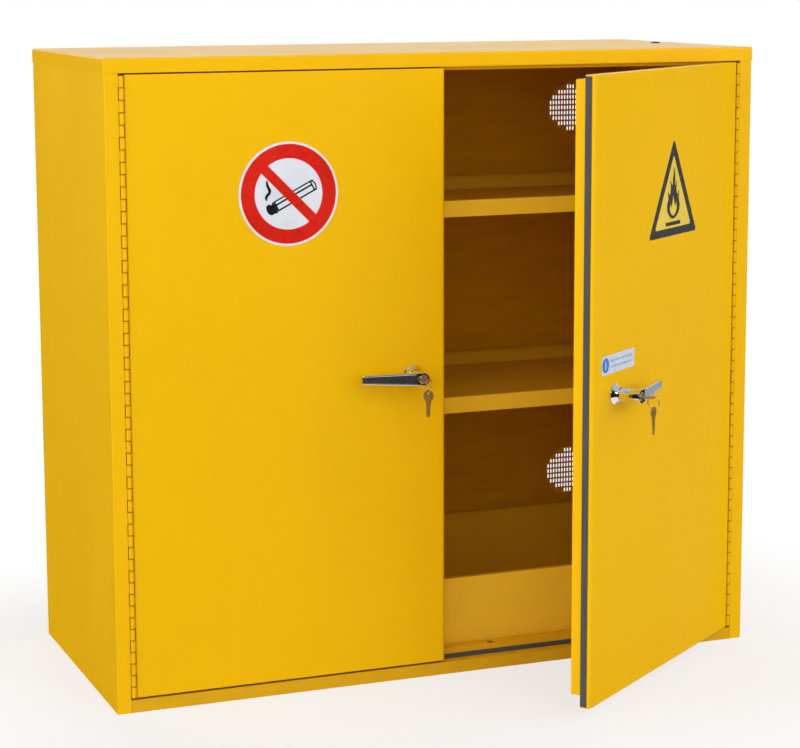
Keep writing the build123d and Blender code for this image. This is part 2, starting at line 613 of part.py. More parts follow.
    with BuildPart() as rod_low:
        with BuildSketch(P.offset(PAN_Z0 - 1.0)) as rod_circle:
            with Locations((low_s, m * ROD_T)):
                Circle(ROD_D / 2)
        extrude(amount=480.0)
        chamfer(rod_low.edges().sort_by(Axis.Z)[0], 2.0)
        with BuildSketch(leaf.face(32.0)) as rack:
            with Locations((sh - 16.9, 544.0)):
                Rectangle(6.6, 56.0)
            for z in rack_teeth(-2, 4):
                with Locations((sh - 13.7, z)):
                    Polygon((-0.1, -1.6), (2.9, -0.7), (2.9, 0.7), (-0.1, 1.6), align=None)
        extrude(amount=leaf.out() * 8.0)
    save(rod_low, f"rod_lower_{side}")


door("left")
door("right")

# ---------------------------------------------------------------- what is fixed on the faces
leaf = LEAVES["left"]
with BuildPart() as no_smoking_sign:
    with BuildSketch(leaf.face(0.0)) as disc:
        with Locations((HINGE_X - 285.4, 868.8)):
            Circle(88.0)
    extrude(amount=leaf.out() * 0.5)
save(no_smoking_sign, "no_smoking_sign")

leaf = LEAVES["right"]
with BuildPart() as flammable_sign:
    with BuildSketch(leaf.face(0.0)) as triangle:
        with Locations((268.9, 786.0 + 5.0 + 178.0 * 0.2887)):
            RegularPolygon(178.0 * 0.57735, 3, rotation=90)
        offset(amount=5.0)
    extrude(amount=leaf.out() * 0.5)
save(flammable_sign, "flammable_sign")

with BuildPart() as notice_label:
    with BuildSketch(leaf.face(0.0)) as label:
        with Locations((476.5, 597.5)):
            RectangleRounded(121.0, 31.5, 2.0)
    extrude(amount=leaf.out() * 0.5)
save(notice_label, "notice_label")

with BuildPart() as edge_seal:
    with BuildSketch(leaf.plane.offset(DOOR_Z0 + 2.5)) as strip:
        with Locations((LEAF_S1 + 0.5, leaf.m * 12.0)):
            Rectangle(1.0, 11.6)
    extrude(amount=DOOR_Z1 - DOOR_Z0 - 5.0)
save(edge_seal, "edge_seal")
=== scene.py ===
import bpy, bmesh, json, math, random
from mathutils import Vector, Matrix


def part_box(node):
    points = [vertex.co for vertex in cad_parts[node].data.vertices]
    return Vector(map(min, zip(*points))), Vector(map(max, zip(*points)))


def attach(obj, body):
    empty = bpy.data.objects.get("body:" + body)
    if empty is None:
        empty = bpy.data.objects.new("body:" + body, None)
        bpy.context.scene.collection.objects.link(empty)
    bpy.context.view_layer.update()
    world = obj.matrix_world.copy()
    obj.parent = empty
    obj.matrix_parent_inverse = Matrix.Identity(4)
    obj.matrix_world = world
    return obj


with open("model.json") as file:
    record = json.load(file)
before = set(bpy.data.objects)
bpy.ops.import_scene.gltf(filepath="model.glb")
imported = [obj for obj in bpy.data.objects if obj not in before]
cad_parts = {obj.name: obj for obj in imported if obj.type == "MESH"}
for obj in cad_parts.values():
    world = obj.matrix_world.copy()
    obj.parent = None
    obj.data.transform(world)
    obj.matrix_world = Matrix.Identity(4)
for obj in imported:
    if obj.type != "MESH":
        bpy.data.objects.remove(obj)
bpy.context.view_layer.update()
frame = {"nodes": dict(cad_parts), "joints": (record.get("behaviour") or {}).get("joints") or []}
NODES = frame["nodes"]
JOINT = {j["name"]: j for j in frame["joints"]}
MM = 0.001

# ---------------------------------------------------------------- node helpers


class Net:
    """A material's node tree, built by short calls."""

    def __init__(self, name):
        self.mat = bpy.data.materials.new(name)
        self.mat.use_nodes = True
        self.nt = self.mat.node_tree
        self.bsdf = self.nt.nodes["Principled BSDF"]
        self.out = self.nt.nodes["Material Output"]
        self.co = self.nt.nodes.new("ShaderNodeTexCoord").outputs["Object"]

    def node(self, kind, **values):
        n = self.nt.nodes.new(kind)
        for k, v in values.items():
            if k.startswith("_"):
                setattr(n, k[1:], v)
            else:
                n.inputs[k.replace("__", " ")].default_value = v
        return n

    def link(self, a, b):
        self.nt.links.new(a, b)
        return b

    def set(self, **values):
        for k, v in values.items():
            self.bsdf.inputs[k.replace("__", " ")].default_value = v
        return self

    def mapping(self, scale=(1, 1, 1), source=None):
        m = self.nt.nodes.new("ShaderNodeMapping")
        m.inputs["Scale"].default_value = scale
        self.link(source or self.co, m.inputs["Vector"])
        return m.outputs["Vector"]

    def noise(self, scale, detail=3.0, rough=0.5, stretch=None, distortion=0.0):
        n = self.node("ShaderNodeTexNoise", Scale=scale, Detail=detail, Roughness=rough, Distortion=distortion)
        self.link(self.mapping(stretch) if stretch else self.co, n.inputs["Vector"])
        return n.outputs["Fac"]

    def voronoi(self, scale, feature="F1", stretch=None):
        n = self.node("ShaderNodeTexVoronoi", _feature=feature, Scale=scale)
        self.link(self.mapping(stretch) if stretch else self.co, n.inputs["Vector"])
        return n.outputs["Distance"]

    def ramp(self, fac, stops):
        """stops: (position, value or colour)"""
        r = self.nt.nodes.new("ShaderNodeValToRGB")
        el = r.color_ramp.elements
        while len(el) < len(stops):
            el.new(0.5)
        for e, (p, c) in zip(el, stops):
            e.position = p
            e.color = (*c, 1) if isinstance(c, (tuple, list)) else (c, c, c, 1)
        self.link(fac, r.inputs["Fac"])
        return r.outputs["Color"]

    def span(self, fac, lo, hi, a=0.0, b=1.0):
        m = self.node("ShaderNodeMapRange")
        m.inputs["From Min"].default_value = a
        m.inputs["From Max"].default_value = b
        m.inputs["To Min"].default_value = lo
        m.inputs["To Max"].default_value = hi
        self.link(fac, m.inputs["Value"])
        return m.outputs["Result"]

    def math(self, op, a, b=None, clamp=False):
        n = self.nt.nodes.new("ShaderNodeMath")
        n.operation, n.use_clamp = op, clamp
        for i, v in enumerate((a, b)):
            if v is None:
                continue
            if isinstance(v, (int, float)):
                n.inputs[i].default_value = v
            else:
                self.link(v, n.inputs[i])
        return n.outputs[0]

    def mix(self, fac, a, b, blend="MIX"):
        n = self.nt.nodes.new("ShaderNodeMix")
        n.data_type, n.blend_type = "RGBA", blend
        for sock, v in ((n.inputs["Factor"], fac), (n.inputs[6], a), (n.inputs[7], b)):
            if isinstance(v, (int, float)):
                sock.default_value = v
            elif isinstance(v, (tuple, list)):
                sock.default_value = (*v, 1)
            else:
                self.link(v, sock)
        return n.outputs[2]

    def bump(self, height, strength, distance, normal=None):
        b = self.node("ShaderNodeBump", Strength=strength, Distance=distance)
        self.link(height, b.inputs["Height"])
        if normal is not None:
            self.link(normal, b.inputs["Normal"])
        return b.outputs["Normal"]

    def colour(self, socket):
        self.link(socket, self.bsdf.inputs["Base Color"])
        return self

    def rough(self, socket):
        self.link(socket, self.bsdf.inputs["Roughness"])
        return self

    def normal(self, socket):
        self.link(socket, self.bsdf.inputs["Normal"])
        return self


def edge_mask(n, radius=0.0012, gain=7.0):
    """White where the surface turns a corner."""
    bev = n.node("ShaderNodeBevel", _samples=6, Radius=radius)
    geo = n.nt.nodes.new("ShaderNodeNewGeometry")
    dot = n.nt.nodes.new("ShaderNodeVectorMath")
    dot.operation = "DOT_PRODUCT"
    n.link(bev.outputs["Normal"], dot.inputs[0])
    n.link(geo.outputs["Normal"], dot.inputs[1])
    return n.math("MULTIPLY", n.math("SUBTRACT", 1.0, dot.outputs["Value"]), gain, clamp=True)


def crease_shade_mask(n, distance=0.007, lo=0.10, hi=0.46):
    """White deep inside narrow joints between panels, where little light gets in: painted shade in the creases."""
    ao = n.node("ShaderNodeAmbientOcclusion", _samples=8, Distance=distance)
    return n.span(ao.outputs["AO"], 1.0, 0.0, lo, hi)


def hinge_gap_shade(n):
    """Dark lines where one hinge knuckle ends and the next begins: painted shade in the gaps between the knuckles."""
    sep = n.nt.nodes.new("ShaderNodeSeparateXYZ")
    n.link(n.co, sep.inputs[0])
    pitch = 0.0201250
    off = n.math("SUBTRACT", sep.outputs["Z"], 0.026)
    near = n.math("PINGPONG", off, pitch / 2)
    wobble = n.math("MULTIPLY", n.noise(300.0, 3.0), 0.0006)
    return n.span(n.math("SUBTRACT", near, wobble), 1.0, 0.0, 0.00025, 0.00105)


def powder(name, tint, deep, pale, rough=(0.27, 0.36), wear=0.18, welds=None, knuckle_gap_shade=None, front_face_shade=None, tex=1.0, crease_shade_span=(0.10, 0.46)):
    """Powder coat: broad tone drift, orange peel, thinner and lighter on folded edges, a little dust; painted shade in
    narrow creases, and where asked painted shade on front faces and in the knuckle gaps of hinges.
    """
    n = Net(name)
    broad = n.noise(2.6, 4.0, 0.55)
    fine = n.noise(38.0, 5.0, 0.6)
    drift = n.math("ADD", n.math("MULTIPLY", broad, 0.65), n.math("MULTIPLY", fine, 0.35))
    base = n.ramp(drift, [(0.30, deep), (0.5, tint), (0.72, pale)])
    edges = edge_mask(n)
    edge_noise = n.span(n.noise(60.0, 4.0, 0.65), 0.0, 1.0, 0.42, 0.66)
    base = n.mix(n.math("MULTIPLY", n.math("MULTIPLY", edges, edge_noise), wear), base, tuple(min(1.0, c * 1.25 + 0.03) for c in pale))
    # sparse specks of dust in the coat
    specks = n.math("LESS_THAN", n.voronoi(95.0), 0.04)
    base = n.mix(n.math("MULTIPLY", specks, 0.22), base, tuple(c * 0.55 for c in deep))
    if front_face_shade is not None:
        # painted shade: the face turned to the front is painted duller and browner than the rest, in blotches
        geo = n.nt.nodes.new("ShaderNodeNewGeometry")
        sep = n.nt.nodes.new("ShaderNodeSeparateXYZ")
        n.link(geo.outputs["Normal"], sep.inputs[0])
        face = n.span(sep.outputs["Y"], 1.0, 0.0, -0.9, -0.5)
        patch = n.span(n.noise(9.0, 5.0, 0.6, stretch=(1.0, 1.0, 5.0)), 0.72, 1.0, 0.35, 0.65)
        base = n.mix(n.math("MULTIPLY", face, patch), base, front_face_shade)
    if knuckle_gap_shade is not None:
        # painted shade: dark brown lines across the hinge at each gap between knuckles
        base = n.mix(n.math("MULTIPLY", knuckle_gap_shade(n), 0.86), base, (0.22, 0.036, 0.002))
    # painted shade: narrow creases and gaps are darkened to a deep maroon brown
    crease_shade = crease_shade_mask(n, lo=crease_shade_span[0], hi=crease_shade_span[1])
    base = n.mix(n.math("MULTIPLY", crease_shade, 0.90), base, (0.150, 0.022, 0.001))
    n.colour(base)
    smear = n.noise(7.0, 5.0, 0.62, stretch=(1.0, 1.0, 0.35), distortion=0.6)
    n.rough(n.math("ADD", n.span(smear, rough[0], rough[1], 0.3, 0.7), n.math("MULTIPLY", fine, 0.04)))
    peel = n.noise(620.0, 2.0, 0.5)
    wave = n.noise(11.0, 2.0, 0.5)
    nrm = n.bump(wave, 0.10, 0.0022)
    if welds is not None:
        nrm = n.bump(welds(n), 0.55, 0.0006, nrm)
    n.normal(n.bump(peel, 0.16 * tex, 0.00022, nrm))
    n.set(IOR=1.5, Coat__Weight=0.02, Coat__Roughness=0.2, Specular__IOR__Level=0.11)
    return n.mat


def spot_welds(across, along, half, pitch):
    """Shallow round dimples in a row along two lines, as resistance welding leaves."""

    def build(n):
        sep = n.nt.nodes.new("ShaderNodeSeparateXYZ")
        n.link(n.co, sep.inputs[0])
        a = n.math("ABSOLUTE", n.math("SUBTRACT", n.math("ABSOLUTE", sep.outputs[across]), half))
        b = n.math("SUBTRACT", n.math("PINGPONG", sep.outputs[along], pitch / 2), 0.0)
        r = n.math("SQRT", n.math("ADD", n.math("MULTIPLY", a, a), n.math("MULTIPLY", b, b)))
        return n.span(r, 0.0, 1.0, 0.0025, 0.0042)

    return build


def metal(name, colour, rough, smudge=0.06, brushed=None, wave=0.05, tarnish=None, turn=None, metallic=1.0):
    """turn: radius over which the shading rolls round each edge, for buffed parts."""
    n = Net(name)
    broad = n.noise(55.0, 4.0, 0.6)
    dark = tuple(c * 0.82 for c in colour)
    base = n.ramp(broad, [(0.3, dark), (0.55, colour), (0.8, tuple(min(1, c * 1.05) for c in colour))])
    if tarnish is not None:
        t = n.span(n.noise(130.0, 6.0, 0.7), 0.0, 1.0, 0.5, 0.72)
        base = n.mix(n.math("MULTIPLY", t, 0.6), base, tarnish)
    n.colour(base)
    smear = n.noise(140.0, 5.0, 0.65, distortion=0.8)
    r = n.span(smear, rough, rough + smudge, 0.35, 0.75)
    rolled = n.node("ShaderNodeBevel", _samples=8, Radius=turn).outputs["Normal"] if turn else None
    nrm = n.bump(n.noise(90.0, 2.0), wave, 0.0004, rolled)
    if brushed is not None:
        lines = n.noise(1.0, 3.0, 0.6, stretch=brushed)
        r = n.math("ADD", r, n.math("MULTIPLY", lines, 0.12))
        nrm = n.bump(lines, 0.14, 0.00006, nrm)
    scratches = n.noise(1.0, 2.0, 0.5, stretch=(2600.0, 2600.0, 240.0))
    n.normal(n.bump(n.span(scratches, 0.0, 1.0, 0.62, 0.70), 0.03, 0.00003, nrm))
    n.rough(r)
    n.set(Metallic=metallic)
    return n.mat


def vinyl(name, colour, rough=0.22):
    """Printed self-adhesive film: slight mottling of the ink, a gloss film with ripples of the wall below."""
    n = Net(name)
    mott = n.noise(900.0, 4.0, 0.6)
    broad = n.noise(14.0, 3.0, 0.5)
    dark = tuple(c * 0.86 for c in colour)
    pale = tuple(min(1.0, c * 1.05 + 0.004) for c in colour)
    c1 = n.ramp(n.math("ADD", n.math("MULTIPLY", mott, 0.4), n.math("MULTIPLY", broad, 0.6)), [(0.35, dark), (0.5, colour), (0.68, pale)])
    n.colour(c1)
    n.rough(n.span(n.noise(60.0, 4.0, 0.6), rough, rough + 0.12, 0.3, 0.7))
    n.normal(n.bump(n.noise(180.0, 2.0), 0.05, 0.0002, n.bump(n.noise(11.0, 2.0), 0.08, 0.002)))
    n.set(IOR=1.46, Coat__Weight=0.05, Coat__Roughness=0.1, Specular__IOR__Level=0.2)
    return n.mat


def plastic(name, colour, rough, grain=700.0, depth=0.0001, strength=0.25):
    n = Net(name)
    dark, pale = tuple(c * 0.75 for c in colour), tuple(min(1, c * 1.25 + 0.004) for c in colour)
    n.colour(n.ramp(n.noise(45.0, 5.0, 0.6), [(0.32, dark), (0.52, colour), (0.72, pale)]))
    n.rough(n.span(n.noise(90.0, 4.0, 0.6), rough, rough + 0.12, 0.3, 0.7))
    n.normal(n.bump(n.noise(grain, 2.0), strength, depth))
    n.set(IOR=1.5)
    return n.mat


def inlay_material():
    """Smoked, lacquered facing let into the lever: charcoal face on, paler at a slant, fine lengthwise lines."""
    n = Net("dark_inlay")
    lines = n.noise(1.0, 3.0, 0.6, stretch=(60.0, 60.0, 1800.0))
    blot = n.noise(60.0, 4.0, 0.6)
    n.colour(n.ramp(n.math("ADD", n.math("MULTIPLY", lines, 0.5), n.math("MULTIPLY", blot, 0.5)), [(0.3, (0.27, 0.275, 0.30)), (0.5, (0.335, 0.345, 0.375)), (0.7, (0.38, 0.39, 0.42))]))
    n.rough(n.span(blot, 0.09, 0.16, 0.3, 0.7))
    n.normal(n.bump(lines, 0.10, 0.00004))
    n.set(Metallic=0.9, IOR=1.5)
    return n.mat


def seal_material():
    """Extruded heat-swelling strip: graphite grey with a slight blue cast, fine lengthwise lines and grains."""
    n = Net("seal_strip")
    grain = n.noise(1500.0, 3.0, 0.7)
    lines = n.noise(1.0, 4.0, 0.6, stretch=(900.0, 900.0, 14.0))
    mix = n.math("ADD", n.math("MULTIPLY", grain, 0.5), n.math("MULTIPLY", lines, 0.5))
    n.colour(n.ramp(mix, [(0.33, (0.036, 0.037, 0.040)), (0.5, (0.068, 0.069, 0.074)), (0.66, (0.104, 0.105, 0.112))]))
    n.rough(n.span(grain, 0.55, 0.8, 0.3, 0.7))
    n.normal(n.bump(grain, 0.35, 0.00016, n.bump(lines, 0.3, 0.0002)))
    n.set(Specular__IOR__Level=0.3)
    return n.mat


def board_material():
    n = Net("mineral_board")
    fib = n.noise(1.0, 5.0, 0.7, stretch=(90.0, 90.0, 900.0), distortion=1.2)
    blot = n.noise(24.0, 5.0, 0.65)
    n.colour(n.ramp(n.math("ADD", n.math("MULTIPLY", fib, 0.55), n.math("MULTIPLY", blot, 0.45)), [(0.3, (0.30, 0.28, 0.24)), (0.5, (0.50, 0.48, 0.42)), (0.7, (0.63, 0.61, 0.56))]))
    n.rough(n.span(fib, 0.8, 0.97, 0.2, 0.8))
    n.normal(n.bump(fib, 0.6, 0.0006))
    return n.mat


# linear colours
YEL, YEL_D, YEL_P = (0.835, 0.471, 0.0010), (0.808, 0.452, 0.0008), (0.856, 0.488, 0.0016)
M = {}
M["yellow"] = powder("yellow_powder_coat", YEL, YEL_D, YEL_P)
# on the back, the inner face turned to the front gets painted shade: darker and redder than the outside
M["yellow_back"] = powder("yellow_powder_coat_back", YEL, YEL_D, YEL_P, front_face_shade=(0.64, 0.315, 0.012), welds=spot_welds("X", "Z", 0.585, 0.085))
M["yellow_side"] = powder("yellow_powder_coat_side", YEL, YEL_D, YEL_P, rough=(0.32, 0.42), tex=1.3)
# the inside surfaces get a copy of the coat tinted greener and bluer, standing in for the cool light in their shade:
# painted light
M["yellow_in"] = powder("yellow_inner_coat", (0.84, 0.505, 0.026), (0.80, 0.474, 0.022), (0.87, 0.53, 0.034), rough=(0.38, 0.50), wear=0.35)
# the rail is a slightly darker copy of the coat, and its front face gets painted shade: darker and browner
M["yellow_rail"] = powder("yellow_powder_coat_rail", (0.82, 0.46, 0.0020), (0.79, 0.44, 0.0018), (0.85, 0.482, 0.0026), rough=(0.30, 0.40), front_face_shade=(0.64, 0.352, 0.008))
# the hinge coat takes painted shade in its creases more widely, and painted shade lines at the knuckle gaps
M["yellow_hinge"] = powder("yellow_powder_coat_hinge", (0.82, 0.455, 0.0030), (0.78, 0.425, 0.0025), (0.86, 0.49, 0.0050), rough=(0.24, 0.32), knuckle_gap_shade=hinge_gap_shade, crease_shade_span=(0.30, 0.80))
M["seal"] = seal_material()
M["chrome"] = metal("chrome", (0.80, 0.80, 0.815), 0.05, smudge=0.07, wave=0.035, turn=0.0024)
M["zinc"] = metal("zinc_steel", (0.60, 0.61, 0.62), 0.26, smudge=0.14, brushed=(1400.0, 1400.0, 60.0), tarnish=(0.47, 0.46, 0.42))
# the pin is darkened to a deep brown so the gaps between the knuckles read dark: painted shade
M["pin"] = metal("pin_steel_darkened_for_gap_shade", (0.24, 0.075, 0.026), 0.42, smudge=0.16, brushed=(900.0, 900.0, 900.0), tarnish=(0.10, 0.028, 0.010), metallic=0.4)
M["key"] = metal("nickel_key", (0.56, 0.34, 0.10), 0.2, smudge=0.12, brushed=(300.0, 300.0, 2600.0), tarnish=(0.30, 0.15, 0.04), turn=0.0007, metallic=0.66)
M["ring"] = metal("key_ring_steel", (0.72, 0.70, 0.66), 0.12, smudge=0.1)
M["lock"] = metal("lock_brass", (0.76, 0.66, 0.50), 0.14, smudge=0.1, tarnish=(0.58, 0.40, 0.24), turn=0.0010, metallic=0.85)
M["inlay"] = inlay_material()
M["board"] = board_material()
M["black_plastic"] = plastic("black_plastic", (0.012, 0.012, 0.013), 0.35)
M["white"] = vinyl("sign_white", (0.70, 0.735, 0.80))
M["red"] = vinyl("sign_red", (0.64, 0.013, 0.004))
M["black"] = vinyl("sign_black", (0.012, 0.012, 0.013))
M["graphite"] = vinyl("sign_graphite", (0.050, 0.048, 0.050))
M["sign_yellow"] = vinyl("sign_yellow", (0.80, 0.58, 0.075))
M["label"] = vinyl("label_pale", (0.60, 0.66, 0.76))
M["label_blue"] = vinyl("label_blue", (0.05, 0.22, 0.68))
M["label_line"] = vinyl("label_line", (0.34, 0.42, 0.60))
M["screw"] = metal("screw_steel", (0.62, 0.62, 0.63), 0.22, smudge=0.12, brushed=(600.0, 600.0, 600.0))


def dress(node, key):
    o = NODES[node]
    o.data.materials.clear()
    o.data.materials.append(M[key])
    for p in o.data.polygons:
        p.material_index = 0


LOOK = {
    "back_panel": "yellow_back", "top_lid": "yellow", "bottom_rail": "yellow_rail", "top_rail": "yellow",
    "side_panel_left": "yellow_side", "side_panel_right": "yellow_side", "floor_panel": "yellow_in",
    "floor_stiffener": "yellow_in", "sump_tray": "yellow_in", "shelf_lower": "yellow_in", "shelf_upper": "yellow_in",
    "rack_strips_left": "yellow_in", "rack_strips_right": "yellow_in", "vent_grille_lower": "yellow",
    "vent_grille_upper": "yellow", "shelf_clips": "zinc", "rod_keepers": "zinc", "frame_seals": "seal",
    "lid_plug": "black_plastic", "edge_seal": "seal", "no_smoking_sign": "white", "flammable_sign": "sign_yellow",
    "notice_label": "label",
}
for side in ("left", "right"):
    LOOK.update({
        f"hinge_leaf_frame_{side}": "yellow_hinge", f"hinge_leaf_door_{side}": "yellow_hinge", f"hinge_pin_{side}": "pin",
        f"door_skin_{side}": "yellow", f"door_inner_pan_{side}": "yellow", f"door_insulation_{side}": "board",
        f"lock_case_{side}": "zinc", f"rod_guides_{side}": "zinc", f"handle_rose_{side}": "chrome",
        f"handle_lever_{side}": "chrome", f"lever_inlay_{side}": "inlay", f"lock_spindle_{side}": "zinc",
        f"lock_barrel_{side}": "lock", f"key_in_lock_{side}": "key", f"key_ring_{side}": "ring",
        f"spare_key_{side}": "key", f"rod_upper_{side}": "zinc", f"rod_lower_{side}": "zinc",
    })
for name in NODES:
    dress(name, LOOK[name])


# ---------------------------------------------------------------- leaf coordinates
# u runs to the right as the leaf is seen from outside, z up, h outward from the door's face; u = 0 on the hinge axis.
class Leaf:
    def __init__(self, side):
        j = JOINT[f"door_{side}_hinge"]
        a = 0.0 if side == "left" else -math.radians(j["range_deg"][0])
        self.side, self.body = side, f"door_{side}"
        self.m = 1.0 if side == "left" else -1.0
        self.origin = Vector((j["pos_m"][0], j["pos_m"][1], 0.0))
        self.s_dir = Vector((self.m * math.cos(a), -math.sin(a), 0.0))
        self.out = Vector((-self.m * math.sin(a), -math.cos(a), 0.0))
        self.u_dir = self.s_dir * self.m
        self.matrix = Matrix((
            (self.u_dir.x, 0.0, self.out.x, self.origin.x),
            (self.u_dir.y, 0.0, self.out.y, self.origin.y),
            (0.0, 1.0, 0.0, 0.0),
            (0.0, 0.0, 0.0, 1.0),
        ))  # (u, z, h) -> world


LEAF = {s: Leaf(s) for s in ("left", "right")}
SPIN = {}
for s in LEAF:
    p = Vector(JOINT[f"handle_{s}_turn"]["pos_m"]) - LEAF[s].origin
    SPIN[s] = (p.dot(LEAF[s].u_dir), p.z)


def finish_mesh(name, bm, mat, body, smooth=None):
    bmesh.ops.remove_doubles(bm, verts=bm.verts, dist=2e-7)
    bmesh.ops.recalc_face_normals(bm, faces=bm.faces)
    me = bpy.data.meshes.new(name)
    bm.to_mesh(me)
    bm.free()
    o = bpy.data.objects.new(name, me)
    bpy.context.scene.collection.objects.link(o)
    me.materials.append(M[mat])
    if smooth is not None:
        me.shade_smooth()
        me.set_sharp_from_angle(angle=math.radians(smooth))
    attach(o, body)
    return o


def prints(name, loops, leaf, h0, h1, mat, edge=0.00006):
    """A flat printed shape on a leaf: closed outlines in (u, z), holes where they nest, from height h0 to h1."""
    cu = bpy.data.curves.new(name, "CURVE")
    cu.dimensions, cu.fill_mode = "2D", "BOTH"
    cu.extrude = (h1 - h0) / 2 - edge
    cu.bevel_depth, cu.bevel_resolution, cu.offset = edge, 1, -edge
    for pts in loops:
        sp = cu.splines.new("POLY")
        sp.points.add(len(pts) - 1)
        for q, (u, z) in zip(sp.points, pts):
            q.co = (u, z, 0.0, 1.0)
        sp.use_cyclic_u = True
    tmp = bpy.data.objects.new(name + "_tmp", cu)
    bpy.context.scene.collection.objects.link(tmp)
    bpy.context.view_layer.update()
    me = bpy.data.meshes.new_from_object(tmp.evaluated_get(bpy.context.evaluated_depsgraph_get()))
    bm = bmesh.new()
    bm.from_mesh(me)
    bpy.data.objects.remove(tmp)
    bpy.data.curves.remove(cu)
    bpy.data.meshes.remove(me)
    for v in bm.verts:
        v.co = leaf.matrix @ Vector((v.co.x, v.co.y, v.co.z + (h0 + h1) / 2))
    return finish_mesh(name, bm, mat, leaf.body)


def circle(cu, cz, r, n=96, a0=0.0):
    return [(cu + r * math.cos(a0 + 2 * math.pi * i / n), cz + r * math.sin(a0 + 2 * math.pi * i / n)) for i in range(n)]


def arc(cu, cz, r, a, b, n=24):
    return [(cu + r * math.cos(math.radians(a + (b - a) * i / n)), cz + r * math.sin(math.radians(a + (b - a) * i / n))) for i in range(n + 1)]


def turned(pts, ang, cu, cz):
    c, s = math.cos(math.radians(ang)), math.sin(math.radians(ang))
    return [(cu + x * c - z * s, cz + x * s + z * c) for x, z in pts]


def smooth_loop(pts, per=8):
    """Closed Catmull-Rom curve through the points."""
    out, n = [], len(pts)
    for i in range(n):
        p0, p1, p2, p3 = pts[i - 1], pts[i], pts[(i + 1) % n], pts[(i + 2) % n]
        for k in range(per):
            t = k / per
            out.append(tuple(0.5 * (2 * b + (c - a) * t + (2 * a - 5 * b + 4 * c - d) * t * t + (3 * b - a - 3 * c + d) * t ** 3) for a, b, c, d in zip(p0, p1, p2, p3)))
    return out


def rounded(pts, r, n=6):
    """A polygon with its corners rounded to radius r."""
    out = []
    m = len(pts)
    for i in range(m):
        a, b, c = Vector(pts[i - 1]), Vector(pts[i]), Vector(pts[(i + 1) % m])
        d1, d2 = (a - b).normalized(), (c - b).normalized()
        half = math.acos(max(-1, min(1, d1.dot(d2)))) / 2
        t = r / math.tan(half)
        p1, p2 = b + d1 * t, b + d2 * t
        centre = b + (d1 + d2).normalized() * (r / math.sin(half))
        q1, q2 = p1 - centre, p2 - centre
        a1, a2 = math.atan2(q1.y, q1.x), math.atan2(q2.y, q2.x)
        while a2 - a1 > math.pi:
            a2 -= 2 * math.pi
        while a2 - a1 < -math.pi:
            a2 += 2 * math.pi
        for k in range(n + 1):
            q = a1 + (a2 - a1) * k / n
            out.append((centre.x + r * math.cos(q), centre.y + r * math.sin(q)))
    return out


# ---------------------------------------------------------------- signs
def node_centre(node, leaf):
    """Middle of a node on a leaf, in (u, z)."""
    lo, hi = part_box(node)
    c = (lo + hi) / 2 - leaf.origin
    return c.dot(leaf.u_dir), c.z


L, R = LEAF["left"], LEAF["right"]
SKIN = 0.5 * MM    # the sign plates stand this far off the door
INK = 0.22 * MM

# prohibition disc: a red ring and bar over a plain smouldering stick
cu, cz = node_centre("no_smoking_sign", L)
k = MM
ring = [circle(cu, cz, 84 * k, 128)]
bar_half, inner = 8.6 * k, 60.0 * k
# the two white halves left by the bar, as holes in the ring
half_angle = math.degrees(math.asin(bar_half / inner))
for side_sign in (1, -1):
    a0 = -45 + half_angle if side_sign > 0 else 135 + half_angle
    a1 = 135 - half_angle if side_sign > 0 else 315 - half_angle
    ring.append(arc(cu, cz, inner, a0, a1, 64))
prints("prohibition_ring_and_bar", ring, L, SKIN + 0.01 * MM, SKIN + INK + 0.08 * MM, "red")

# the stick, lower left to upper right, drawn as outline, fold line, glowing end and a curl of smoke
tilt, c_len, c_w = 27.0, 39.0 * k, 9.6 * k
mid = (cu + 11.5 * k, cz - 3.2 * k)
outer = rounded([(-c_len, -c_w), (c_len, -c_w), (c_len + 2.5 * k, 0.0), (c_len, c_w), (-c_len, c_w)], 1.2 * k)
hollow1 = rounded([(-c_len + 3.0 * k, -c_w + 2.8 * k), (c_len - 6.0 * k, -c_w + 2.8 * k), (c_len - 6.0 * k, 0.6 * k), (-c_len + 3.0 * k, 0.6 * k)], 0.6 * k)
hollow2 = rounded([(-c_len + 3.0 * k, 3.6 * k), (c_len - 6.0 * k, 3.6 * k), (c_len - 6.0 * k, c_w - 2.4 * k), (-c_len + 3.0 * k, c_w - 2.4 * k)], 0.5 * k)
hollow3 = rounded([(c_len - 3.4 * k, -c_w + 3.0 * k), (c_len - 1.6 * k, -c_w + 3.1 * k), (c_len + 0.2 * k, 0.0), (c_len - 1.6 * k, c_w - 3.1 * k), (c_len - 3.4 * k, c_w - 3.0 * k)], 0.4 * k)
prints("stick_outline", [turned(p, tilt, *mid) for p in (outer, hollow1, hollow2, hollow3)], L, SKIN + 0.01 * MM, SKIN + INK, "black")
ember = smooth_loop([(-c_len - 0.6 * k, -c_w), (-c_len - 6.0 * k, -c_w * 1.02), (-c_len - 13.5 * k, -c_w * 0.9), (-c_len - 17.0 * k, -c_w * 0.15), (-c_len - 15.2 * k, c_w * 0.75), (-c_len - 9.5 * k, c_w * 1.0), (-c_len - 5.0 * k, c_w * 0.66), (-c_len - 0.6 * k, c_w * 0.96)])
prints("stick_ember", [turned(ember, tilt, *mid)], L, SKIN + 0.01 * MM, SKIN + INK, "black")
wisp = smooth_loop([(0, 0), (1.4, 5.5), (4.4, 9.5), (5.6, 14.5), (3.6, 19.5), (2.0, 24.0), (1.0, 29.0), (-0.6, 26.0), (-0.4, 21.0), (1.2, 16.5), (1.8, 12.5), (-0.6, 8.8), (-2.2, 4.6)])
prints("smoke_curl", [[(cu - 39.0 * k + x * 1.45 * k, cz - 11.0 * k + z * 1.22 * k) for x, z in wisp]], L, SKIN + 0.01 * MM, SKIN + INK, "black")

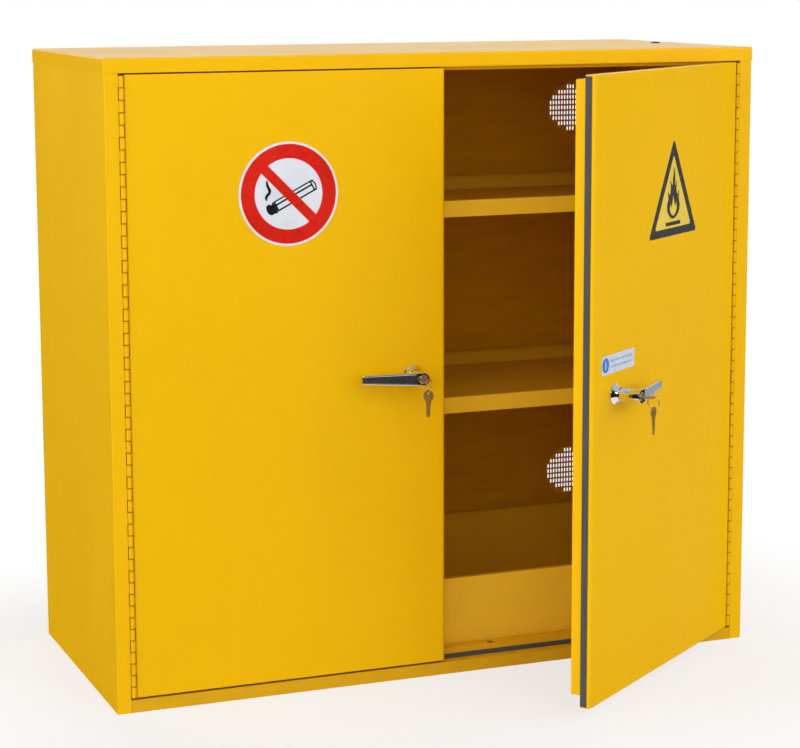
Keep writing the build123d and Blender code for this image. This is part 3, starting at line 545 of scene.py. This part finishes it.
# warning triangle: graphite frame, a flame over a short bar
lo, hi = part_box("flammable_sign")
tu = node_centre("flammable_sign", R)[0]
t_lo, t_hi = lo.z, hi.z
corner, inset = 5.0 * MM, 0.8 * MM
side_len = 178.0 * MM
base_z = t_lo + corner
tri = [(tu - side_len / 2, base_z), (tu + side_len / 2, base_z), (tu, base_z + side_len * math.sqrt(3) / 2)]
centre_z = base_z + side_len * math.sqrt(3) / 6


def tri_loop(grow, r):
    """The triangle with each side moved outward by grow, corners rounded to r."""
    f = 1 + grow / (side_len * math.sqrt(3) / 6)
    return rounded([(tu + (x - tu) * f, centre_z + (z - centre_z) * f) for x, z in tri], r)


prints("triangle_frame", [tri_loop(corner - inset, 4.2 * MM), tri_loop(-9.5 * MM, 3.0 * MM)], R, SKIN + 0.01 * MM, SKIN + INK + 0.05 * MM, "graphite")
fz = base_z + 25.0 * MM
flame_outer = smooth_loop([(0, 0), (-9, 2.5), (-17, 10), (-19.5, 21), (-15.5, 31), (-17.5, 42), (-11.5, 37), (-8.5, 47), (-10, 58), (-3.5, 51), (-1.5, 63), (1.5, 78), (4.5, 62), (5.0, 50), (10.5, 57), (9.0, 45), (13.0, 36), (17.5, 44), (16.5, 31), (20, 20), (17, 9.5), (9, 2.5)], 6)
flame_inner = smooth_loop([(0, 4.5), (-7, 8), (-10.5, 15.5), (-8.0, 24), (-6.5, 17.5), (-2.5, 25), (-0.5, 35), (2.5, 26), (6.0, 18), (8.5, 25), (10.8, 15.5), (7, 8)], 6)
prints("flame_mark", [[(tu + x * 1.30 * k, fz + z * 1.13 * k) for x, z in flame_outer], [(tu + x * 1.30 * k, fz + z * 1.13 * k) for x, z in flame_inner]], R, SKIN + 0.01 * MM, SKIN + INK, "graphite")
prints("flame_base_bar", [rounded([(tu - 30 * k, base_z + 13.6 * k), (tu + 30 * k, base_z + 13.6 * k), (tu + 30 * k, base_z + 20.0 * k), (tu - 30 * k, base_z + 20.0 * k)], 1.2 * k)], R, SKIN + 0.01 * MM, SKIN + INK, "graphite")

# small notice label: a disc and two rows of plain dashes
nu, nz = node_centre("notice_label", R)
dc = (nu - 47.0 * MM, nz)
prints("label_disc", [circle(dc[0], dc[1], 12.4 * MM, 64), rounded([(dc[0] - 1.7 * k, dc[1] - 7.5 * k), (dc[0] + 1.7 * k, dc[1] - 7.5 * k), (dc[0] + 1.7 * k, dc[1] + 7.5 * k), (dc[0] - 1.7 * k, dc[1] + 7.5 * k)], 1.5 * k)], R, SKIN + 0.01 * MM, SKIN + INK, "label_blue")
rng = random.Random(7)
dashes = []
for row, z in ((0, nz + 5.2 * MM), (1, nz - 4.6 * MM)):
    u = nu - 29.0 * MM + row * 2.0 * MM
    while u < nu + 48.0 * MM:
        w = (5.0 + 9.0 * rng.random()) * MM
        w = min(w, nu + 53.0 * MM - u)
        dashes.append(rounded([(u, z - 1.9 * k), (u + w, z - 1.9 * k), (u + w, z + 1.9 * k), (u, z + 1.9 * k)], 1.2 * k, 4))
        u += w + 2.4 * MM
prints("label_rows", dashes, R, SKIN + 0.01 * MM, SKIN + INK, "label_line")


# ---------------------------------------------------------------- fasteners and small fittings
def dome(bm, centre, axis, r, h, seg=20, rings=5, recess=None):
    """A low rivet or screw head on a surface, open side down on the surface, closed underneath."""
    axis = Vector(axis).normalized()
    side = axis.orthogonal().normalized()
    up = axis.cross(side)
    rows = []
    for i in range(rings):
        f = math.pi / 2 * i / rings
        rows.append([bm.verts.new(Vector(centre) + axis * (h * math.sin(f)) + (side * math.cos(a) + up * math.sin(a)) * (r * math.cos(f))) for a in (2 * math.pi * q / seg for q in range(seg))])
    for a, b in zip(rows, rows[1:]):
        for q in range(seg):
            bm.faces.new((a[q], a[(q + 1) % seg], b[(q + 1) % seg], b[q]))
    top = bm.verts.new(Vector(centre) + axis * h)
    for q in range(seg):
        bm.faces.new((rows[-1][q], rows[-1][(q + 1) % seg], top))
    bm.faces.new(rows[0][::-1])


def pan_screw(bm, centre, axis, r, h, spin=0.3, seg=28):
    """A pan head with a cross recess cut into its crown."""
    axis = Vector(axis).normalized()
    side = axis.orthogonal().normalized()
    up = axis.cross(side)

    def ring(rad, hh):
        return [bm.verts.new(Vector(centre) + axis * hh + (side * math.cos(a) + up * math.sin(a)) * rad) for a in (2 * math.pi * q / seg for q in range(seg))]

    rows = [ring(r, 0.0), ring(r, h * 0.35), ring(r * 0.93, h * 0.68), ring(r * 0.74, h * 0.92), ring(r * 0.56, h)]
    # the crown steps down into a cross
    def cross(rad_out, rad_in, hh):
        vs = []
        for q in range(seg):
            a = 2 * math.pi * q / seg
            t = abs(((a - spin) % (math.pi / 2)) - math.pi / 4) / (math.pi / 4)
            rad = rad_in + (rad_out - rad_in) * max(0.0, (t - 0.55) / 0.45) ** 1.0
            vs.append(bm.verts.new(Vector(centre) + axis * hh + (side * math.cos(a) + up * math.sin(a)) * rad))
        return vs

    rows.append(cross(r * 0.52, r * 0.15, h * 0.995))
    rows.append(cross(r * 0.46, r * 0.12, h * 0.55))
    for a, b in zip(rows, rows[1:]):
        for q in range(seg):
            bm.faces.new((a[q], a[(q + 1) % seg], b[(q + 1) % seg], b[q]))
    low = bm.verts.new(Vector(centre) + axis * h * 0.4)
    for q in range(seg):
        bm.faces.new((rows[-1][q], rows[-1][(q + 1) % seg], low))
    bm.faces.new(rows[0][::-1])


# rivets along the four strips of the continuous hinges
for s in ("left", "right"):
    leaf = LEAF[s]
    flat = Leaf(s)
    lo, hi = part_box(f"hinge_leaf_frame_{s}")
    n_riv = 11
    zs = [lo.z + 0.045 + i * (hi.z - lo.z - 0.09) / (n_riv - 1) for i in range(n_riv)]
    # on the frame: strip at s = -5..-3.8 from the axis, depth t = 5.7..16.3, facing the axis
    bm = bmesh.new()
    m = leaf.m
    for z in zs:
        c = leaf.origin + Vector((m * -3.8 * MM, 12.2 * MM, z))
        dome(bm, c, (m, 0, 0), 2.3 * MM, 0.7 * MM)
    finish_mesh(f"hinge_rivets_frame_{s}", bm, "yellow", "carcass", 40)
    bm = bmesh.new()
    for z in zs:
        c = leaf.origin + leaf.s_dir * (3.8 * MM) - leaf.out * (12.2 * MM) + Vector((0, 0, z - 0.012))
        dome(bm, c, -leaf.s_dir, 2.3 * MM, 0.7 * MM)
    finish_mesh(f"hinge_rivets_door_{s}", bm, "yellow", leaf.body, 40)

# low rivet heads that hold the louvre plates
for tag in ("lower", "upper"):
    lo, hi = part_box(f"vent_grille_{tag}")
    c = (lo + hi) / 2
    bm = bmesh.new()
    for a in (45, 135, 225, 315):
        dome(bm, (c.x + 54.2 * MM * math.cos(math.radians(a)), hi.y - 0.00002, c.z + 54.2 * MM * math.sin(math.radians(a))), (0, 1, 0), 2.4 * MM, 0.28 * MM)
    finish_mesh(f"vent_rivets_{tag}", bm, "yellow", "carcass", 40)

# inside each door: a cover plate over the lock, with four screws
for s in ("left", "right"):
    leaf = LEAF[s]
    u0, z0 = SPIN[s]
    pan_lo, pan_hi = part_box(f"door_inner_pan_{s}")
    back = -38.0 * MM    # rear face of the inner pan, in h
    bm = bmesh.new()
    w, hgt, th = 46.0 * MM, 62.0 * MM, 1.4 * MM
    rim = rounded([(u0 - w, z0 - hgt), (u0 + w, z0 - hgt), (u0 + w, z0 + hgt), (u0 - w, z0 + hgt)], 9.0 * MM, 8)
    inset = rounded([(u0 - w + 1.2 * MM, z0 - hgt + 1.2 * MM), (u0 + w - 1.2 * MM, z0 - hgt + 1.2 * MM), (u0 + w - 1.2 * MM, z0 + hgt - 1.2 * MM), (u0 - w + 1.2 * MM, z0 + hgt - 1.2 * MM)], 7.8 * MM, 8)
    rows = []
    for loop, h in ((rim, back), (rim, back - th * 0.55), (inset, back - th)):
        rows.append([bm.verts.new(leaf.matrix @ Vector((u, z, h))) for u, z in loop])
    for a, b in zip(rows, rows[1:]):
        for q in range(len(a)):
            bm.faces.new((a[q], a[(q + 1) % len(a)], b[(q + 1) % len(a)], b[q]))
    bm.faces.new(rows[-1])
    bm.faces.new(rows[0][::-1])
    finish_mesh(f"lock_cover_{s}", bm, "yellow", leaf.body, 35)
    bm = bmesh.new()
    for i, (du, dz) in enumerate(((-36, -52), (36, -52), (36, 52), (-36, 52))):
        c = leaf.matrix @ Vector((u0 + du * MM, z0 + dz * MM, back - th))
        pan_screw(bm, c, -leaf.out, 4.0 * MM, 2.0 * MM, spin=0.2 + 0.55 * i)
    finish_mesh(f"lock_cover_screws_{s}", bm, "screw", leaf.body, 35)


# ---------------------------------------------------------------- shading of the CAD pieces
def shade(node, angle=32.0):
    me = NODES[node].data
    me.shade_smooth()
    me.set_sharp_from_angle(angle=math.radians(angle))


for name in NODES:
    shade(name)

# ---------------------------------------------------------------- floor, light and camera
def stage_plane():
    bm = bmesh.new()
    g = 9.0
    vs = [bm.verts.new(p) for p in ((-g, -g, 0), (g, -g, 0), (g, g, 0), (-g, g, 0))]
    bm.faces.new(vs)
    me = bpy.data.meshes.new("floor")
    bm.to_mesh(me)
    bm.free()
    o = bpy.data.objects.new("studio_floor", me)
    bpy.context.scene.collection.objects.link(o)
    n = Net("studio_floor")
    n.colour(n.ramp(n.noise(3.0, 3.0, 0.5), [(0.3, (0.93, 0.93, 0.93)), (0.7, (0.955, 0.955, 0.955))]))
    n.rough(n.span(n.noise(9.0, 3.0), 0.55, 0.65, 0.3, 0.7))
    n.set(Specular__IOR__Level=0.0)
    # it fades to the plain white of the backdrop away from the object
    sep = n.nt.nodes.new("ShaderNodeSeparateXYZ")
    n.link(n.co, sep.inputs[0])
    dx = n.math("MAXIMUM", n.math("SUBTRACT", n.math("ABSOLUTE", sep.outputs["X"]), 0.5), 0.0)
    dy = n.math("MAXIMUM", n.math("SUBTRACT", n.math("ABSOLUTE", n.math("ADD", sep.outputs["Y"], 0.15)), 0.35), 0.0)
    far = n.math("SQRT", n.math("ADD", n.math("MULTIPLY", dx, dx), n.math("MULTIPLY", dy, dy)))
    fade = n.nt.nodes.new("ShaderNodeMapRange")
    fade.interpolation_type = "SMOOTHSTEP"
    for key, v in (("From Min", 0.03), ("From Max", 0.62), ("To Min", 0.66), ("To Max", 1.0)):
        fade.inputs[key].default_value = v
    n.link(far, fade.inputs["Value"])
    glow = n.node("ShaderNodeEmission", Strength=1.0)
    seen = n.nt.nodes.new("ShaderNodeMixShader")
    n.link(fade.outputs["Result"], seen.inputs[0])
    n.link(n.bsdf.outputs[0], seen.inputs[1])
    n.link(glow.outputs[0], seen.inputs[2])
    # to light that bounces off it, it is a plain mid-grey paper
    dull = n.node("ShaderNodeBsdfDiffuse")
    dull.inputs["Color"].default_value = (0.68, 0.68, 0.68, 1.0)
    path = n.nt.nodes.new("ShaderNodeLightPath")
    both = n.nt.nodes.new("ShaderNodeMixShader")
    n.link(path.outputs["Is Camera Ray"], both.inputs[0])
    n.link(dull.outputs[0], both.inputs[1])
    n.link(seen.outputs[0], both.inputs[2])
    n.link(both.outputs[0], n.out.inputs["Surface"])
    me.materials.append(n.mat)
    o.visible_glossy = False


stage_plane()

world = bpy.data.worlds.new("studio")
bpy.context.scene.world = world
world.use_nodes = True
wt = world.node_tree
bg = wt.nodes["Background"]
bg.inputs["Color"].default_value = (1.0, 1.0, 1.0, 1.0)
bg.inputs["Strength"].default_value = 0.06    # what lights the object
seen = wt.nodes.new("ShaderNodeBackground")
seen.inputs["Color"].default_value = (1.0, 1.0, 1.0, 1.0)
seen.inputs["Strength"].default_value = 1.0
# what gloss mirrors: a dark studio with a white screen low behind the object, a paler floor and ceiling and one
# bluish screen on the right
screen = wt.nodes.new("ShaderNodeBackground")
co = wt.nodes.new("ShaderNodeTexCoord")
sep = wt.nodes.new("ShaderNodeSeparateXYZ")
wt.links.new(co.outputs["Generated"], sep.inputs[0])


def world_span(socket, a, b, lo=0.0, hi=1.0):
    n = wt.nodes.new("ShaderNodeMapRange")
    n.interpolation_type = "SMOOTHSTEP"
    for k, v in (("From Min", a), ("From Max", b), ("To Min", lo), ("To Max", hi)):
        n.inputs[k].default_value = v
    wt.links.new(socket, n.inputs["Value"])
    return n.outputs["Result"]


def world_math(op, a, b):
    n = wt.nodes.new("ShaderNodeMath")
    n.operation = op
    for i, v in enumerate((a, b)):
        if isinstance(v, (int, float)):
            n.inputs[i].default_value = v
        else:
            wt.links.new(v, n.inputs[i])
    return n.outputs[0]


def world_tint(amount, colour, under):
    n = wt.nodes.new("ShaderNodeMix")
    n.data_type = "RGBA"
    wt.links.new(amount, n.inputs["Factor"])
    n.inputs[7].default_value = (*colour, 1.0)
    if isinstance(under, tuple):
        n.inputs[6].default_value = (*under, 1.0)
    else:
        wt.links.new(under, n.inputs[6])
    return n.outputs[2]


behind = world_math("MULTIPLY", world_span(sep.outputs["Y"], 0.15, 0.6), world_span(sep.outputs["Z"], 0.03, 0.09))
aim = wt.nodes.new("ShaderNodeVectorMath")
aim.operation = "DOT_PRODUCT"
wt.links.new(co.outputs["Generated"], aim.inputs[0])
aim.inputs[1].default_value = (0.864, 0.468, -0.184)
right = world_span(aim.outputs["Value"], 0.985, 0.9925)
look = world_tint(world_span(sep.outputs["Z"], 0.52, 0.70), (0.42, 0.45, 0.50), (0.012, 0.012, 0.013))
look = world_tint(world_span(sep.outputs["Z"], -0.42, -0.62), (0.80, 0.78, 0.76), look)
look = world_tint(right, (0.52, 0.57, 0.66), look)
look = world_tint(behind, (1.0, 1.02, 1.08), look)
wt.links.new(look, screen.inputs["Color"])
screen.inputs["Strength"].default_value = 1.22
lp = wt.nodes.new("ShaderNodeLightPath")
mx1, mx2 = wt.nodes.new("ShaderNodeMixShader"), wt.nodes.new("ShaderNodeMixShader")
wt.links.new(lp.outputs["Is Glossy Ray"], mx1.inputs[0])
wt.links.new(bg.outputs[0], mx1.inputs[1])
wt.links.new(screen.outputs[0], mx1.inputs[2])
wt.links.new(lp.outputs["Is Camera Ray"], mx2.inputs[0])
wt.links.new(mx1.outputs[0], mx2.inputs[1])
wt.links.new(seen.outputs[0], mx2.inputs[2])
wt.links.new(mx2.outputs[0], wt.nodes["World Output"].inputs["Surface"])


def area(name, pos, target, size, power, size_y=None, colour=(1, 1, 1)):
    d = bpy.data.lights.new(name, "AREA")
    d.energy, d.size, d.color = power, size, colour
    if size_y:
        d.shape, d.size_y = "RECTANGLE", size_y
    o = bpy.data.objects.new(name, d)
    bpy.context.scene.collection.objects.link(o)
    o.location = pos
    o.rotation_euler = (Vector(target) - Vector(pos)).to_track_quat("-Z", "Y").to_euler()
    o.visible_camera = False
    return o


def sun(name, towards, level, angle):
    """level: how bright a white wall facing the light would be."""
    d = bpy.data.lights.new(name, "SUN")
    d.energy, d.angle = level * math.pi, math.radians(angle)
    o = bpy.data.objects.new(name, d)
    bpy.context.scene.collection.objects.link(o)
    o.rotation_euler = (-Vector(towards)).to_track_quat("-Z", "Y").to_euler()
    o.visible_glossy = False
    return o


sun("key", (-0.10, -0.88, 0.42), 0.50, 66)
sun("fill_right", (0.82, -0.50, 0.22), 0.64, 70)
sun("fill_left", (-0.96, -0.20, 0.14), 0.91, 62)
sun("fill_back", (0.25, 0.96, 0.14), 0.60, 62)
# two soft boxes that only gloss sees
for box in (area("softbox", (-2.6, -3.6, 2.4), (0.0, -0.3, 0.5), 0.9, 26.0), area("strip", (1.9, -2.6, 1.7), (0.2, -0.3, 0.55), 0.25, 6.0, 1.3)):
    box.visible_diffuse = False

cam = bpy.data.cameras.new("camera")
cam_o = bpy.data.objects.new("camera", cam)
bpy.context.scene.collection.objects.link(cam_o)
cam.sensor_width = 36.0
cam.sensor_fit = "HORIZONTAL"
cam.lens = 2283.0 / 800 * 36.0
cam.shift_x, cam.shift_y = 0.0, -0.070
yaw, pitch, roll = math.radians(21.553), math.radians(8.716), math.radians(-0.189)
cam_o.location = (-1.5145, -3.8770, 1.2427)
fwd = Vector((math.sin(yaw) * math.cos(pitch), math.cos(yaw) * math.cos(pitch), -math.sin(pitch)))
quat = fwd.to_track_quat("-Z", "Y")
cam_o.rotation_euler = (quat.to_matrix() @ Matrix.Rotation(roll, 3, "Z")).to_euler()
cam.clip_start, cam.clip_end = 0.05, 60.0
bpy.context.scene.camera = cam_o
bpy.context.scene.view_settings.view_transform = "Standard"
